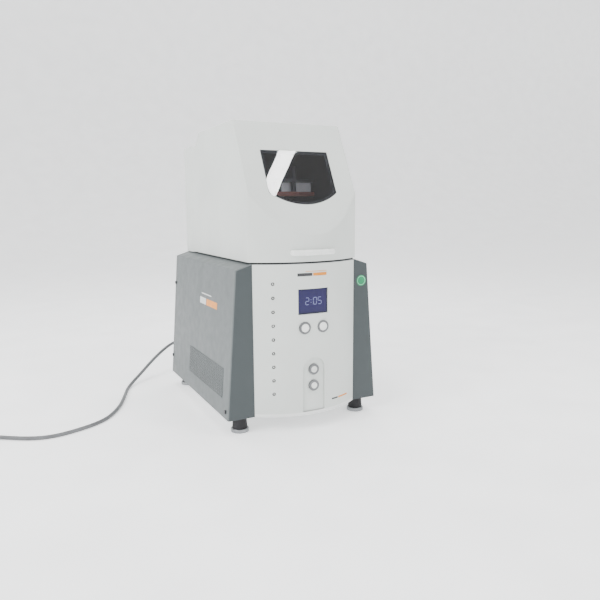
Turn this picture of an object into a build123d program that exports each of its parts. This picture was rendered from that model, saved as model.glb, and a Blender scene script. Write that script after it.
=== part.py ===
from build123d import *
from math import atan2, cos, pi, radians, sin, sqrt, tan
import os

os.makedirs("parts", exist_ok=True)

# A laboratory mixer mill, in millimetres. X is to its right, Y to its back, Z up from the floor.

# Base cabinet
panel_depth = 458.6
panel_bottom_half = 187.4
panel_top_half = 162.6
panel_bottom = 36.0
cabinet_height = 335.0
bevel_height = 12.0
panel_rise = 1.0
panel_wall = 2.0
panel_corner_radius = 4.0
panel_flange = 14.0
fit_gap = 0.3
deck_top = panel_bottom + cabinet_height
bevel_top = deck_top + panel_rise
bevel_bottom = bevel_top - bevel_height

# Curved front
fascia_half = 125.5
fascia_setback = 0.3
curve_radius = 210.6
fascia_wall = 3.0
fascia_drop = 1.0
fascia_return = 26.0
fascia_top = deck_top - fascia_drop

# Lid
lid_half = 132.5
chamber_height = 305.0
gasket_height = 3.6
lid_wall = 6.0
slope_drop = 153.1
slope_angle = 26.7
top_length = 241.6
shoulder_drop = 29.5
lid_bottom = deck_top + gasket_height
lid_top = deck_top + chamber_height
slope_corner_z = lid_top - slope_drop
shoulder_z = lid_top - shoulder_drop
rear_slope_run = 24.4
seam_back = 69.0
seam_gap = 0.5
housing_wall = 3.0
housing_frame = 20.0
liner_thickness = 6.0
liner_margin = 9.0
liner_rise = 24.0
lid_edge_radius = 4.0
smile_radius = 10.0

# Lid window, measured in the sloped face from its lower corner line
window_half = 82.0
window_top = 99.2
window_shoulder = -3.2
window_bottom = -31.8
pane_thickness = 4.0
pane_ledge = 7.0

# Lid grip
grip_half = 52.5
grip_rise = 13.4
grip_bottom = lid_bottom + grip_rise
grip_height = 12.0
grip_reach = 8.5

# Fittings at the back
rear_fitting_reach = 3.7

# Places along Y that follow from the sizes above
curve_offset = sqrt(curve_radius**2 - fascia_half**2)
bulge = curve_radius - curve_offset
front_reach = panel_depth / 2 - fascia_setback + bulge + grip_reach
rear_reach = panel_depth / 2 + rear_fitting_reach
panel_middle = (front_reach - rear_reach) / 2
front_plane = panel_middle - panel_depth / 2
back_plane = panel_middle + panel_depth / 2
curve_centre = front_plane + fascia_setback + curve_offset
curve_front = curve_centre - curve_radius
seam = back_plane - seam_back
slope_tan = tan(radians(slope_angle))
slope_cos = cos(radians(slope_angle))
lid_corner = curve_centre - sqrt(curve_radius**2 - lid_half**2)
top_back_y = lid_corner + (lid_top - slope_corner_z) * slope_tan + top_length
shoulder_y = top_back_y + rear_slope_run
housing_front = seam + seam_gap
inner_back = back_plane - panel_wall

# Base pan, frame plates and deck
pan_thickness = 2.0
pan_lip = 5.0
pan_top = panel_bottom + pan_thickness
fascia_bottom = pan_top + pan_lip
frame_inner = 118.0
frame_thickness = 4.0
frame_setback = 28.3
frame_front = front_plane + frame_setback
frame_back_gap = 10.0
front_opening = (70.0, 160.0)
rear_opening = (230.0, 360.0)
opening_rise = 35.0
opening_height = 85.0
deck_thickness = 6.0
deck_gap = 1.0
deck_bottom = deck_top - deck_thickness
deck_slot_x = 112.0
deck_slot_width = 4.0
deck_slot_front = 40.0
deck_slot_length = 110.0
gasket_width = 8.0
foot_side_inset = 37.4
foot_x = panel_bottom_half - foot_side_inset
foot_inset = 29.3
foot_radius = 17.0
foot_taper = 2.0
foot_bolt_radius = 5.0
pad_radius = 20.0
pad_height = 8.0

# Crank mechanism
mech_y = 2.0
stroke = 31.75
crank_radius = stroke / 2
crank_z = 101.0
guide_drop = 41.0
guide_bottom = deck_top - guide_drop
crosshead_clearance = 33.125
crosshead_rise = 30.0
crosshead_fall = 13.0
wrist_z = guide_bottom - stroke - crosshead_rise - crosshead_clearance
rod_width = 18.0
crank_pin_radius = 8.0
wrist_pin_radius = 7.0
running_gap = 0.05
disc_radius = 40.0
disc_thickness = 20.0
disc_gap = 3.0
disc_front = mech_y + rod_width / 2 + disc_gap
disc_hole_radius = 7.0
disc_hole_x = 22.0
disc_hole_drop = 14.0
crank_shaft_radius = 12.5
bearing_radius = 26.0
bearing_width = 15.0
bearing_step = 6.0
block_gap = 8.0
block_front = disc_front + disc_thickness + block_gap
block_length = 100.0
block_half = 45.0
block_roof = 10.0
block_foot = 8.0
block_foot_reach = 15.0
guide_spread = 45.0
guide_radius = 10.0
bushing_radius = 14.0
bushing_length = 36.0
guide_half = 70.0
guide_depth = 34.0
guide_foot = 8.0
guide_foot_reach = 20.0
guide_corner = 8.0
crosshead_half = 62.0
crosshead_depth = 16.0
crosshead_corner = 4.0
crosshead_gap = 0.4
small_end_radius = 15.0
small_bush_radius = 10.0
big_end_radius = 23.0
big_bearing_radius = 15.0
rod_end_gap = 3.0
shank_half = 8.0
shank_groove = 5.0
pin_head = 3.0
crosshead_bottom = wrist_z - crosshead_fall
crosshead_top = wrist_z + crosshead_rise

# Motor and belt
motor_drop = 100.0
motor_z = deck_bottom - motor_drop
motor_radius = 52.0
motor_length = 96.0
motor_cap_length = 12.0
motor_cap_step = 5.0
motor_shaft_radius = 9.0
motor_shaft_inset = 20.0
terminal_width = 50.0
terminal_length = 40.0
terminal_height = 34.0
bracket_thickness = 6.0
bracket_gap = 4.0
bracket_margin = 18.0
bracket_flange = 20.0
pulley_gap = 16.0
pulley_front = block_front + block_length + pulley_gap
pulley_width = 20.0
pulley_rim = 8.0
pulley_recess = 6.0
pulley_hole_radius = 8.0
crank_pulley_radius = 56.0
motor_pulley_radius = 28.0
belt_thickness = 4.0
belt_gap = 0.3

# Motor drive, a finned box on the left frame plate
drive_inset = 28.0
drive_length = 130.0
drive_depth = 48.0
drive_drop = 150.0
drive_fins = 9
fin_depth = 8.0

# Sample clamp
clamp_half = 100.0
clamp_depth = 136.0
clamp_drop = 161.0
clamp_bottom = lid_top - clamp_drop
guide_clearance = 55.0
guide_top = clamp_bottom - guide_clearance
clamp_thickness = 10.0
plate_width = 85.5
plate_length = 127.8
plate_height = 22.0
plate_gap = 13.0
clamp_post_radius = 6.0
clamp_plate_thickness = 8.0
clamp_lift = 25.0
clamp_corner = 3.0
post_x = 38.0
post_overhang = 7.0
post_margin = 12.0
post_reserve = 4.0
slot_margin = 20.0
knob_radius = 16.0
knob_height = 18.0
knob_lobes = 6
knob_scallop = 4.5
knob_floor = 3.0

# Controls on the front
display_half = 36.5
display_drop = 53.8
display_height = 55.5
display_top = fascia_top - display_drop
display_bottom = display_top - display_height
lens_margin = 4.0
lens_thickness = 2.0
lcd_thickness = 9.0
key_x = 22.0
key_drop = 28.7
key_z = display_bottom - key_drop
key_radius = 9.0
key_bezel_radius = 13.5
start_z = 137.5
stop_z = 101.0
press_radius = 7.0
press_bezel_radius = 12.2
button_gap = 0.3
button_travel = 1.5
arch_half = 27.0
arch_depth = 4.0
hole_radius = 3.9
hole_x = -88.0
hole_drop = 41.0
hole_top = fascia_top - hole_drop
hole_pitch = 30.1
hole_count = 9
board_half = 55.0
board_depth = 35.5
board_front = curve_front + board_depth
board_thickness = 1.6
board_margin = 8.0
board_edge = 14.0
post_inset = 6.0
switch_half = 6.0
switch_height = 12.0
plunger_radius = 2.5
standoff_radius = 4.0
lens_seat = 2.0
key_proud = 1.6
key_rim = 1.2
press_recess = 3.6
bezel_reach = 1.0
bezel_clearance = 5.0
collar = 1.6
collar_length = 3.0
key_edge = 1.2

# Side vents
vent_front = 43.0
vent_length = 251.0
vent_rise = 41.0
vent_bottom = panel_bottom + vent_rise
vent_height = 65.0
vent_slot = 7.0
vent_pitch = 12.0

# Side screws
screw_radius = 2.0
screw_length = 5.0
screw_head = 4.2
screw_head_height = 2.2
screw_inset = 8.0
top_screw_drop = 74.0
back_screw_rise = 47.0
front_screw_inset = 19.2
front_screw_rise = 16.0

# Rear fittings
inlet_x = -85.0
inlet_z = 105.0
rocker_x = -42.0
fan_x = 62.0
fan_drop = 75.0
fan_z = deck_bottom - fan_drop
fan_size = 92.0
fan_depth = 25.0
fan_bore = 43.0
fan_hub = 18.0
fan_pin = 3.0
blade_count = 7
blade_centre = 28.0
blade_length = 25.0
blade_chord = 18.0
blade_thickness = 1.8
blade_pitch = 38.0
grille_radius = 41.0
grille_bar = 3.0
rear_slot_count = 6
rear_slot_left = -110.0
rear_slot_length = 80.0
rear_slot_rise = 65.0
rear_slot_pitch = 10.0
rear_slot_height = 4.0
inlet_side = 20.0
inlet_half_height = 17.0
inlet_rim = 4.0
inlet_depth = 24.0
socket_half = 12.3
socket_height = 8.3
socket_depth = 20.0
rocker_side = 13.0
rocker_half = 7.0
rocker_height = 10.6
rocker_root = 8.0
rocker_hollow = 1.4
rocker_recess = 0.4
rocker_sink = 1.0
rocker_pocket = 11.0
rocker_pin = 1.25
rocker_tilt = 7.0

# Hinges
hinge_x = 85.0
hinge_length = 50.0
hinge_pin_radius = 2.5
knuckle_radius = 4.5
leaf_thickness = 2.0
leaf_depth = 24.0

# Mains cord with its connector and plug
cord_radius = 4.25
connector_half = 14.5
connector_height = 10.0
connector_grip = 24.0
connector_corner = 3.0
relief_radius = 7.5
relief_length = 26.0
coil_mean = 47.5
plug_length = 36.0
plug_half = 12.0
plug_height = 20.0
plug_corner = 5.0
blade_spread = 6.3
blade_reach = 17.0
blade_width = 6.0
blade_sheet = 1.6
earth_radius = 2.4
earth_reach = 20.0


def front_y(x, depth=0.0):
    """The y of the curved front at x, or of a surface that lies depth behind it."""
    return curve_centre - sqrt((curve_radius - depth) ** 2 - x**2)


def curved_plan(half, depth, back):
    """A plan outline with the curved front, its sides at half and its back at back."""
    corner = front_y(half, depth)
    with BuildSketch(Plane.XY) as plan:
        with BuildLine():
            ThreePointArc((-half, corner), (0, front_y(0, depth)), (half, corner))
            Polyline((half, corner), (half, back), (-half, back), (-half, corner))
        make_face()
    return plan.sketch


def block(x0, x1, y0, y1, z0, z1, mode=Mode.ADD):
    """A square block between two corners."""
    with Locations(((x0 + x1) / 2, (y0 + y1) / 2, (z0 + z1) / 2)):
        Box(x1 - x0, y1 - y0, z1 - z0, mode=mode)


def bar_x(radius, x0, x1, y, z, mode=Mode.ADD):
    """A round bar along X."""
    with Locations(((x0 + x1) / 2, y, z)):
        Cylinder(radius, x1 - x0, rotation=(0, 90, 0), mode=mode)


def bar_y(radius, y0, y1, x, z, mode=Mode.ADD):
    """A round bar along Y."""
    with Locations((x, (y0 + y1) / 2, z)):
        Cylinder(radius, y1 - y0, rotation=(90, 0, 0), mode=mode)


def bar_z(radius, z0, z1, x, y, mode=Mode.ADD):
    """A round bar along Z."""
    with Locations((x, y, (z0 + z1) / 2)):
        Cylinder(radius, z1 - z0, mode=mode)


def save(builder, name):
    """Labels a finished piece and writes it under its own name."""
    builder.part.label = name
    export_step(builder.part, f"parts/{name}.step")


# Base pan with its curved front lip
pan_half = panel_bottom_half - panel_wall - 5 * fit_gap
foot_spots = [(x, y) for x in (-foot_x, foot_x) for y in (front_plane + foot_inset, back_plane - foot_inset)]
with BuildPart() as base_pan:
    with BuildSketch(Plane.XY.offset(panel_bottom)):
        add(curved_plan(fascia_half - fit_gap, 0, 0))
    extrude(amount=pan_thickness + pan_lip)
    with BuildSketch(Plane.XY.offset(pan_top)):
        add(curved_plan(fascia_half - fit_gap - pan_thickness, pan_thickness, 0))
    extrude(amount=pan_lip, mode=Mode.SUBTRACT)
    block(-pan_half, pan_half, front_plane + panel_wall + fit_gap, inner_back - fit_gap, pan_top,
          pan_top + pan_lip, Mode.SUBTRACT)
    block(-pan_half, pan_half, front_plane + panel_wall + fit_gap, inner_back - fit_gap, panel_bottom, pan_top)
    for spot in foot_spots:
        bar_z(foot_bolt_radius, panel_bottom, pan_top, *spot, Mode.SUBTRACT)
save(base_pan, "base_pan")

# Rubber feet, each with a bolt that stands in the pan
with BuildPart() as foot_bodies:
    for spot in foot_spots:
        with Locations((*spot, pad_height)):
            Cone(foot_radius, foot_radius - foot_taper, panel_bottom - pad_height,
                 align=(Align.CENTER, Align.CENTER, Align.MIN))
        bar_z(foot_bolt_radius - running_gap, panel_bottom, pan_top + foot_bolt_radius, *spot)
save(foot_bodies, "foot_bodies")

# Steel discs under the feet
with BuildPart() as foot_pads:
    for spot in foot_spots:
        bar_z(pad_radius, 0, pad_height, *spot)
    fillet(foot_pads.edges().filter_by(GeomType.CIRCLE).group_by(Axis.Z)[-1], 2.0)
save(foot_pads, "foot_pads")

# Frame plates that stand on the pan and carry the deck and the motor bracket
for side, name in ((-1, "left_frame_plate"), (1, "right_frame_plate")):
    x0, x1 = sorted((side * frame_inner, side * (frame_inner + frame_thickness)))
    with BuildPart() as frame_plate:
        block(x0, x1, frame_front, inner_back - frame_back_gap, pan_top, deck_bottom)
        for start, end in (front_opening, rear_opening):
            block(x0, x1, frame_front + start, frame_front + end, pan_top + opening_rise,
                  pan_top + opening_rise + opening_height, Mode.SUBTRACT)
    save(frame_plate, name)

# Deck under the grinding chamber
with BuildPart() as top_deck:
    with BuildSketch(Plane.XY.offset(deck_bottom)):
        add(curved_plan(fascia_half - fascia_wall - fit_gap, fascia_wall + fit_gap, inner_back - fit_gap))
    extrude(amount=deck_thickness)
    block(-fascia_half + fit_gap, fascia_half - fit_gap, front_plane + fascia_return + fit_gap,
          inner_back - fit_gap, deck_bottom, deck_top)
    block(-guide_half - deck_gap, guide_half + deck_gap, mech_y - guide_depth - deck_gap,
          mech_y + guide_depth + deck_gap, deck_bottom, deck_top, Mode.SUBTRACT)
    for x in (-deck_slot_x, deck_slot_x):
        block(x - deck_slot_width / 2, x + deck_slot_width / 2, deck_slot_front,
              deck_slot_front + deck_slot_length, deck_bottom, deck_top, Mode.SUBTRACT)
save(top_deck, "top_deck")

# Rubber gasket between the deck and the lid
with BuildPart() as deck_gasket:
    with BuildSketch(Plane.XY.offset(deck_top)):
        add(curved_plan(fascia_half - fit_gap, fascia_wall + fit_gap, seam - 6))
        add(curved_plan(fascia_half - fit_gap - gasket_width, fascia_wall + fit_gap + gasket_width, seam),
            mode=Mode.SUBTRACT)
    extrude(amount=lid_bottom - deck_top)
save(deck_gasket, "deck_gasket")

# Side panels, each a bent sheet with a front wall, a back wall and a bottom flange
panel_inner = fascia_half + fit_gap


panel_lean = (panel_bottom_half - panel_top_half) / (bevel_bottom - panel_bottom)


def panel_profile(inset):
    """The side panel's outline seen from the front, moved inwards by the sheet's thickness."""
    bevel_lean = bevel_height / (panel_top_half - panel_inner)
    outer = panel_bottom_half - inset * sqrt(1 + panel_lean**2)
    drop = inset * sqrt(1 + bevel_lean**2)
    corner_z = bevel_bottom + bevel_lean * inset - drop
    side_x = outer - panel_lean * (corner_z - panel_bottom)
    top = bevel_top - drop + bevel_lean * (panel_top_half - inset - side_x)
    with BuildSketch(Plane.XY) as profile:
        with BuildLine():
            Polyline((panel_inner, panel_bottom), (outer, panel_bottom), (side_x, corner_z), (panel_inner, top),
                     close=True)
        make_face()
    return profile.sketch


def panel_x(z):
    """The side panel's outer x at a height."""
    return panel_bottom_half - panel_lean * (z - panel_bottom)


panel_screws = (
    (back_plane - screw_inset, bevel_bottom - top_screw_drop),
    (back_plane - screw_inset, panel_bottom + back_screw_rise),
    (front_plane + front_screw_inset, panel_bottom + front_screw_rise),
)
vent_start = front_plane + vent_front
vent_top = vent_bottom + vent_height
vent_reach = 2 * panel_wall + abs(panel_lean) * vent_height
vent_x = panel_x((vent_bottom + vent_top) / 2)
for side, name in ((-1, "left_side_panel"), (1, "right_side_panel")):
    with BuildPart() as side_panel:
        with BuildSketch(Plane.XZ.offset(-back_plane)):
            add(panel_profile(0))
        extrude(amount=panel_depth)
        outer_edges = side_panel.edges().filter_by_position(Axis.X, panel_inner + panel_wall, panel_bottom_half + 1)
        fillet(outer_edges.filter_by_position(Axis.Z, pan_top, bevel_top), panel_corner_radius)
        with BuildSketch(Plane.XZ.offset(-inner_back)):
            add(panel_profile(panel_wall))
        extrude(amount=panel_depth - 2 * panel_wall, mode=Mode.SUBTRACT)
        flange_out = panel_bottom_half - panel_wall
        block(flange_out - panel_flange, flange_out, front_plane + 1, back_plane - 1,
              pan_top + fit_gap, pan_top + fit_gap + panel_wall)
        slot_count = int(vent_length / vent_pitch)
        for number in range(slot_count):
            slot_y = vent_start + (number + 0.5) * vent_length / slot_count
            block(vent_x - vent_reach, vent_x + vent_reach, slot_y - vent_slot / 2, slot_y + vent_slot / 2,
                  vent_bottom, vent_top, Mode.SUBTRACT)
        for y, z in panel_screws:
            bar_x(screw_radius, panel_x(z) - screw_length, panel_x(z) + 1, y, z, Mode.SUBTRACT)
        if side < 0:
            mirror(about=Plane.YZ, mode=Mode.REPLACE)
    save(side_panel, name)


def arch_form(margin, outer_depth, inner_depth):
    """The arch on the fascia, between two depths behind the curved front."""
    reach = bulge + inner_depth + 10
    with BuildPart() as arch:
        with BuildSketch(Plane.XZ.offset(-(curve_front - 10 + reach))):
            with Locations((0, start_z)):
                Circle(arch_half + margin)
            with Locations((0, (fascia_bottom + start_z) / 2)):
                Rectangle(2 * (arch_half + margin), start_z - fascia_bottom)
        extrude(amount=reach)
        with BuildSketch(Plane.XY.offset(fascia_bottom)):
            add(curved_plan(fascia_half, outer_depth, curve_centre))
            add(curved_plan(fascia_half, inner_depth, curve_centre), mode=Mode.SUBTRACT)
        extrude(amount=fascia_top, mode=Mode.INTERSECT)
    return arch.part


# Front fascia: curved wall, side returns, display seat, arch with its buttons, posts for the board
lens_half = display_half + lens_margin
seat_half = lens_half + lens_seat
seat_back = front_y(seat_half, fascia_wall)
lens_bottom = display_bottom - lens_margin
lens_top = display_top + lens_margin
board_bottom = stop_z - board_edge - board_margin
board_top = lens_top + board_edge
key_bezel_front = front_y(key_x - key_bezel_radius) - key_rim
key_bezel_back = front_y(key_x + key_bezel_radius, fascia_wall) + bezel_reach
press_bezel_front = curve_front + arch_depth - press_recess
press_bezel_back = front_y(press_bezel_radius, arch_depth + fascia_wall) + bezel_reach
post_places = [(x, z) for x in (-board_half + post_inset, board_half - post_inset)
               for z in (board_bottom + board_margin, board_top - board_margin)]
arch_backing = arch_form(fascia_wall, 0, arch_depth + fascia_wall)
arch_recess = arch_form(0, -1, arch_depth)
with BuildPart() as front_fascia:
    with BuildSketch(Plane.XY.offset(fascia_bottom)):
        add(curved_plan(fascia_half, 0, front_plane + fascia_return))
    extrude(amount=fascia_top - fascia_bottom)
    with BuildSketch(Plane.XY.offset(fascia_bottom)):
        add(curved_plan(fascia_half - fascia_wall, fascia_wall, curve_centre))
    extrude(amount=fascia_top - fascia_bottom, mode=Mode.SUBTRACT)
    add(arch_backing)
    block(-seat_half, seat_half, front_y(seat_half) + fit_gap, seat_back, lens_bottom - lens_seat,
          lens_top + lens_seat)
    for x, z in post_places:
        bar_y(standoff_radius, front_y(abs(x) + standoff_radius) + fit_gap, board_front, x, z)
    add(arch_recess, mode=Mode.SUBTRACT)
    block(-display_half, display_half, curve_front, seat_back, display_bottom, display_top, Mode.SUBTRACT)
    for x in (-key_x, key_x):
        bar_y(key_bezel_radius, curve_front, key_bezel_back + bezel_clearance, x, key_z, Mode.SUBTRACT)
    for z in (start_z, stop_z):
        bar_y(press_bezel_radius, curve_front, press_bezel_back + bezel_clearance, 0, z, Mode.SUBTRACT)
    for number in range(hole_count):
        bar_y(hole_radius, curve_front, front_y(hole_x, fascia_wall) + 3 * fascia_wall,
              hole_x, hole_top - number * hole_pitch, Mode.SUBTRACT)
save(front_fascia, "front_fascia")

# Rings around the two keys and the two round push buttons
with BuildPart() as button_bezels:
    for x in (-key_x, key_x):
        bar_y(key_bezel_radius, key_bezel_front, key_bezel_back, x, key_z)
        bar_y(key_radius + button_gap, key_bezel_front, key_bezel_back, x, key_z, Mode.SUBTRACT)
    for z in (start_z, stop_z):
        bar_y(press_bezel_radius, press_bezel_front, press_bezel_back, 0, z)
        bar_y(press_radius + button_gap, press_bezel_front, press_bezel_back, 0, z, Mode.SUBTRACT)
save(button_bezels, "button_bezels")

# Keys and push buttons, each with a collar behind its ring that stops it from falling out
button_places = (
    ("left_soft_key", -key_x, key_z, key_radius, key_bezel_front, key_bezel_back),
    ("right_soft_key", key_x, key_z, key_radius, key_bezel_front, key_bezel_back),
    ("start_button", 0, start_z, press_radius, press_bezel_front, press_bezel_back),
    ("stop_button", 0, stop_z, press_radius, press_bezel_front, press_bezel_back),
)
button_backs = {}
for name, x, z, radius, ring_front, ring_back in button_places:
    button_back = ring_back + button_gap + collar_length
    button_backs[name] = button_back
    with BuildPart() as button:
        bar_y(radius, ring_front - key_proud, button_back, x, z)
        fillet(button.edges().filter_by(GeomType.CIRCLE).sort_by(Axis.Y)[0], key_edge)
        bar_y(radius + collar, ring_back + button_gap, button_back, x, z)
    save(button, name)

# Display lens against its seat, and the display module against the lens
with BuildPart() as display_lens:
    block(-lens_half, lens_half, seat_back, seat_back + lens_thickness, lens_bottom, lens_top)
save(display_lens, "display_lens")
lcd_front = seat_back + lens_thickness
with BuildPart() as lcd_module:
    block(-lens_half, lens_half, lcd_front, lcd_front + lcd_thickness, lens_bottom, lens_top)
    block(-lens_half + board_margin, lens_half - board_margin, lcd_front + lcd_thickness, board_front,
          lens_bottom + board_margin, lens_bottom + 2 * board_margin)
save(lcd_module, "lcd_module")

# Control board with its four switches, screwed to the fascia's posts
switch_front = board_front - switch_height
with BuildPart() as control_board:
    block(-board_half, board_half, board_front, board_front + board_thickness, board_bottom, board_top)
    for name, x, z, radius, ring_front, ring_back in button_places:
        block(x - switch_half, x + switch_half, switch_front, board_front, z - switch_half, z + switch_half)
        bar_y(plunger_radius, button_backs[name] + button_travel + button_gap, switch_front, x, z)
save(control_board, "control_board")

# Rear panel with its fan grille, its vent slots and its cut-out for the power inlet
inlet_left = inlet_x - inlet_side
inlet_right = rocker_x + rocker_side
cutout_half = inlet_half_height - inlet_rim + fit_gap
with BuildPart() as rear_panel:
    block(-fascia_half, fascia_half, inner_back, back_plane, panel_bottom, deck_top)
    bar_y(grille_radius, inner_back, back_plane, fan_x, fan_z, Mode.SUBTRACT)
    for share in (1, 2):
        ring_radius = grille_radius * share / 3 + grille_bar / 2
        with BuildSketch(Plane.XZ.offset(-back_plane)):
            with Locations((fan_x, fan_z)):
                Circle(ring_radius)
                Circle(ring_radius - grille_bar, mode=Mode.SUBTRACT)
        extrude(amount=panel_wall)
    block(fan_x - grille_radius, fan_x + grille_radius, inner_back, back_plane,
          fan_z - grille_bar / 2, fan_z + grille_bar / 2)
    block(fan_x - grille_bar / 2, fan_x + grille_bar / 2, inner_back, back_plane,
          fan_z - grille_radius, fan_z + grille_radius)
    block(inlet_left + inlet_rim - fit_gap, inlet_right - inlet_rim + fit_gap, inner_back, back_plane,
          inlet_z - cutout_half, inlet_z + cutout_half, Mode.SUBTRACT)
    for number in range(rear_slot_count):
        slot_z = inlet_z + rear_slot_rise + number * rear_slot_pitch
        block(rear_slot_left, rear_slot_left + rear_slot_length, inner_back, back_plane,
              slot_z, slot_z + rear_slot_height, Mode.SUBTRACT)
save(rear_panel, "rear_panel")

# Power inlet with its connector pocket and its switch pocket
rocker_axis_y = back_plane - rocker_sink
inlet_face = back_plane + rear_fitting_reach
rocker_room = rocker_height + 4 * fit_gap
with BuildPart() as power_inlet:
    block(inlet_left, inlet_right, back_plane, inlet_face, inlet_z - inlet_half_height, inlet_z + inlet_half_height)
    block(inlet_left + inlet_rim, inlet_right - inlet_rim, back_plane - inlet_depth, back_plane,
          inlet_z - inlet_half_height + inlet_rim, inlet_z + inlet_half_height - inlet_rim)
    block(inlet_x - socket_half, inlet_x + socket_half, inlet_face - socket_depth, inlet_face,
          inlet_z - socket_height, inlet_z + socket_height, Mode.SUBTRACT)
    block(rocker_x - rocker_half - fit_gap, rocker_x + rocker_half + fit_gap, back_plane - rocker_pocket,
          inlet_face, inlet_z - rocker_room, inlet_z + rocker_room, Mode.SUBTRACT)
    bar_x(rocker_pin, rocker_x - rocker_half - 1, rocker_x + rocker_half + 1, rocker_axis_y, inlet_z)
save(power_inlet, "power_inlet")

# Power rocker, pressed in at its lower end
rocker_reach = rear_fitting_reach - rocker_recess


def tilted(u, w):
    """A point of the rocker's side view, turned about its pivot."""
    turn = radians(rocker_tilt)
    return (rocker_axis_y + u * cos(turn) - w * sin(turn), inlet_z + u * sin(turn) + w * cos(turn))


with BuildPart() as power_rocker:
    with BuildSketch(Plane.YZ.offset(rocker_x)):
        with BuildLine():
            Polyline(tilted(-rocker_root / 2, -rocker_root), tilted(rocker_reach, -rocker_height),
                     tilted(rocker_reach - rocker_hollow, 0), tilted(rocker_reach, rocker_height),
                     tilted(-rocker_root / 2, rocker_root), close=True)
        make_face()
    extrude(amount=rocker_half, both=True)
    bar_x(rocker_pin + running_gap, rocker_x - rocker_half, rocker_x + rocker_half, rocker_axis_y, inlet_z,
          Mode.SUBTRACT)
save(power_rocker, "power_rocker")

# Cooling fan behind the rear panel's grille
fan_front = inner_back - fan_depth
spoke_depth = fan_depth / 8
with BuildPart() as fan_frame:
    block(fan_x - fan_size / 2, fan_x + fan_size / 2, fan_front, inner_back,
          fan_z - fan_size / 2, fan_z + fan_size / 2)
    bar_y(fan_bore, fan_front, inner_back, fan_x, fan_z, Mode.SUBTRACT)
    bar_y(fan_hub, fan_front, fan_front + spoke_depth + 1, fan_x, fan_z)
    block(fan_x - fan_bore - 1, fan_x + fan_bore + 1, fan_front, fan_front + spoke_depth, fan_z - 2, fan_z + 2)
    block(fan_x - 2, fan_x + 2, fan_front, fan_front + spoke_depth, fan_z - fan_bore - 1, fan_z + fan_bore + 1)
    bar_y(fan_pin, fan_front, inner_back - spoke_depth, fan_x, fan_z)
save(fan_frame, "fan_frame")
with BuildPart() as fan_rotor:
    bar_y(fan_hub - 1, fan_front + spoke_depth + 1 + fit_gap, inner_back - 5 * fit_gap, fan_x, fan_z)
    with Locations((fan_x, (fan_front + inner_back) / 2 + 5 * fit_gap, fan_z)):
        for number in range(blade_count):
            turn = number * 360 / blade_count
            with Locations(Location((0, 0, 0), (0, turn, 0))):
                with Locations(Location((blade_centre, 0, 0), (blade_pitch, 0, 0))):
                    Box(blade_length, blade_chord, blade_thickness)
    bar_y(fan_pin + running_gap, fan_front, inner_back, fan_x, fan_z, Mode.SUBTRACT)
save(fan_rotor, "fan_rotor")

# Rear housing behind the lid, with a front frame that carries the chamber's rear wall
housing_bottom = bevel_top + seam_gap
with BuildPart() as rear_housing:
    block(-lid_half, lid_half, housing_front, inner_back, housing_bottom, shoulder_z)
    fillet(rear_housing.edges().group_by(Axis.Y)[-1].filter_by_position(Axis.Z, housing_bottom + 1, lid_top),
           lid_edge_radius)
    block(-lid_half + housing_wall, lid_half - housing_wall, housing_front + housing_wall,
          inner_back - housing_wall, housing_bottom - 1, shoulder_z - housing_wall, Mode.SUBTRACT)
    block(-lid_half + housing_frame, lid_half - housing_frame, housing_front, housing_front + housing_wall,
          housing_bottom + housing_frame, shoulder_z - housing_frame, Mode.SUBTRACT)
    block(-fascia_half + fit_gap, fascia_half - fit_gap, housing_front, inner_back - fit_gap,
          deck_top, housing_bottom + housing_wall)
save(rear_housing, "rear_housing")

# Rear wall of the grinding chamber
chamber_half = lid_half - lid_wall - seam_gap
chamber_front = housing_front - housing_wall
with BuildPart() as chamber_wall:
    block(-chamber_half, chamber_half, chamber_front, housing_front, housing_bottom,
          shoulder_z - lid_wall - 5 * seam_gap)
    block(-fascia_half + fit_gap, fascia_half - fit_gap, chamber_front, housing_front, deck_top, housing_bottom)
save(chamber_wall, "chamber_wall")


def slope_y(z, inset):
    """The y of the lid's sloped face at a height, moved inwards by inset."""
    return lid_corner + inset / slope_cos + (z - slope_corner_z) * slope_tan


def slope_z(y, inset):
    """The height of the lid's sloped face at y, moved inwards by inset."""
    return slope_corner_z + (y - lid_corner - inset / slope_cos) / slope_tan


def lid_side_view(inset, front, back, bottom):
    """The lid seen from its side, moved inwards by inset, in Y and Z."""
    slide = inset * tan(atan2(lid_top - shoulder_z, rear_slope_run) / 2)
    with BuildSketch(Plane.XY) as view:
        with BuildLine():
            Polyline((front, bottom), (front, slope_z(front, inset)),
                     (slope_y(lid_top - inset, inset), lid_top - inset),
                     (top_back_y - slide, lid_top - inset), (shoulder_y - slide, shoulder_z - inset),
                     (back, shoulder_z - inset), (back, bottom), close=True)
        make_face()
    return view.sketch


def lid_form(inset, bottom, back):
    """The lid's solid form, moved inwards by inset."""
    with BuildPart() as form:
        with BuildSketch(Plane.XY.offset(bottom)):
            add(curved_plan(lid_half - inset, inset, back))
        extrude(amount=lid_top - bottom)
        with BuildSketch(Plane.YZ):
            add(lid_side_view(inset, curve_front - 10, back, bottom))
        extrude(amount=lid_half, both=True, mode=Mode.INTERSECT)
    return form.part


window_plane = Plane(origin=(0, lid_corner, slope_corner_z), x_dir=(1, 0, 0),
                     z_dir=(0, -slope_cos, sin(radians(slope_angle))))


def window_outline(margin):
    """The window's outline in the sloped face, grown by margin."""
    with BuildSketch(Plane.XY) as outline:
        with BuildLine():
            Polyline((-window_half, window_shoulder), (-window_half, window_top), (window_half, window_top),
                     (window_half, window_shoulder))
            ThreePointArc((window_half, window_shoulder), (0, window_bottom), (-window_half, window_shoulder))
        make_face()
        if margin != 0:
            offset(amount=margin, kind=Kind.INTERSECTION, mode=Mode.REPLACE)
    return outline.sketch


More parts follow.
